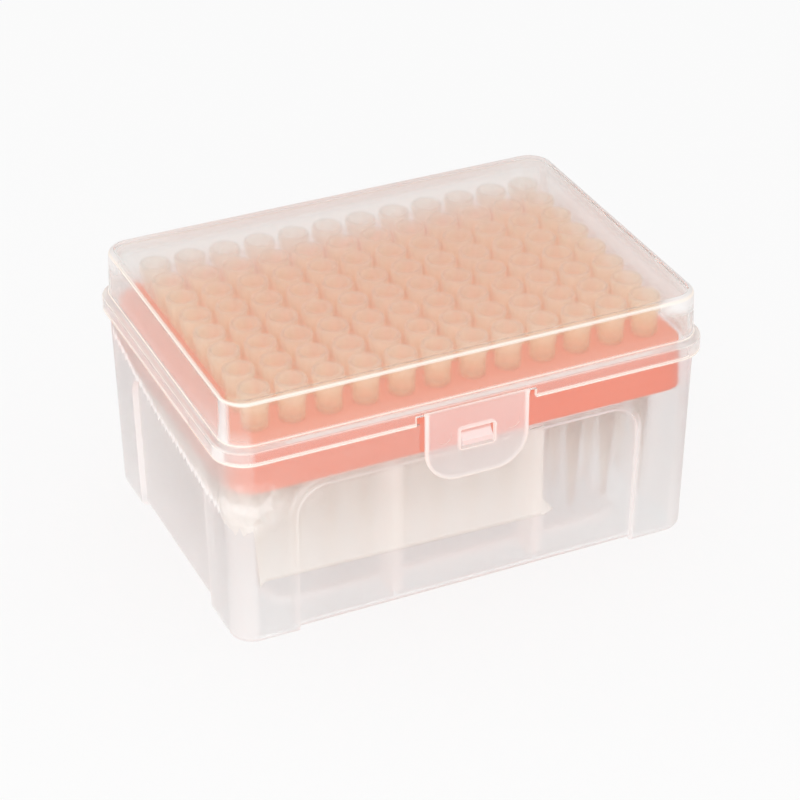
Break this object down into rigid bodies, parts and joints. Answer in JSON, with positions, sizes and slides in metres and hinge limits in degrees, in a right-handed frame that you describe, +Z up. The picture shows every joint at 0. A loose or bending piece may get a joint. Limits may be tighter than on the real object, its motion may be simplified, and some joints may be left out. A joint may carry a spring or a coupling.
{
  "type": "box of pipette tips",
  "caption": "Translucent hinged box with a front latch tab, holding rows of long tapered pipette tips upright in a coloured rack.",
  "frame": {"origin": "centre of the underside, on the plane that the box stands on, midway between its outer walls", "axes": "+X along the long side, +Y towards the hinges (the latch is at -Y), +Z up"},
  "size_m": [0.1234, 0.0938, 0.066],
  "materials": {
    "clear_box": "translucent natural polypropylene, slightly hazy",
    "clear_lid": "translucent natural polypropylene, satin",
    "salmon_rack": "satin salmon polypropylene",
    "natural_tip": "translucent natural polypropylene",
    "clear_film": "thin clear film, crumpled at one end"
  },
  "bodies": {
    "base": {"base_box": "clear_box", "tip_rack": "salmon_rack", "tips_column_01": "natural_tip", "tips_column_02": "natural_tip", "tips_column_03": "natural_tip", "tips_column_04": "natural_tip", "tips_column_05": "natural_tip", "tips_column_06": "natural_tip", "tips_column_07": "natural_tip", "tips_column_08": "natural_tip", "tips_column_09": "natural_tip", "tips_column_10": "natural_tip", "tips_column_11": "natural_tip", "tips_column_12": "natural_tip", "sealing_tape": "clear_film"},
    "lid": {"lid": "clear_lid"},
    "latch": {"latch_tab": "clear_lid"}
  },
  "joints": [
    {"name": "lid_hinge", "type": "hinge", "parent": "base", "child": "lid", "pos_m": [0, 0.0466, 0.0504], "axis": [-1, 0, 0], "range_deg": [0, 110]},
    {"name": "latch_hinge", "type": "hinge", "parent": "lid", "child": "latch", "pos_m": [0, -0.04365, 0.0526], "axis": [-1, 0, 0], "range_deg": [0, 100]}
  ]
}
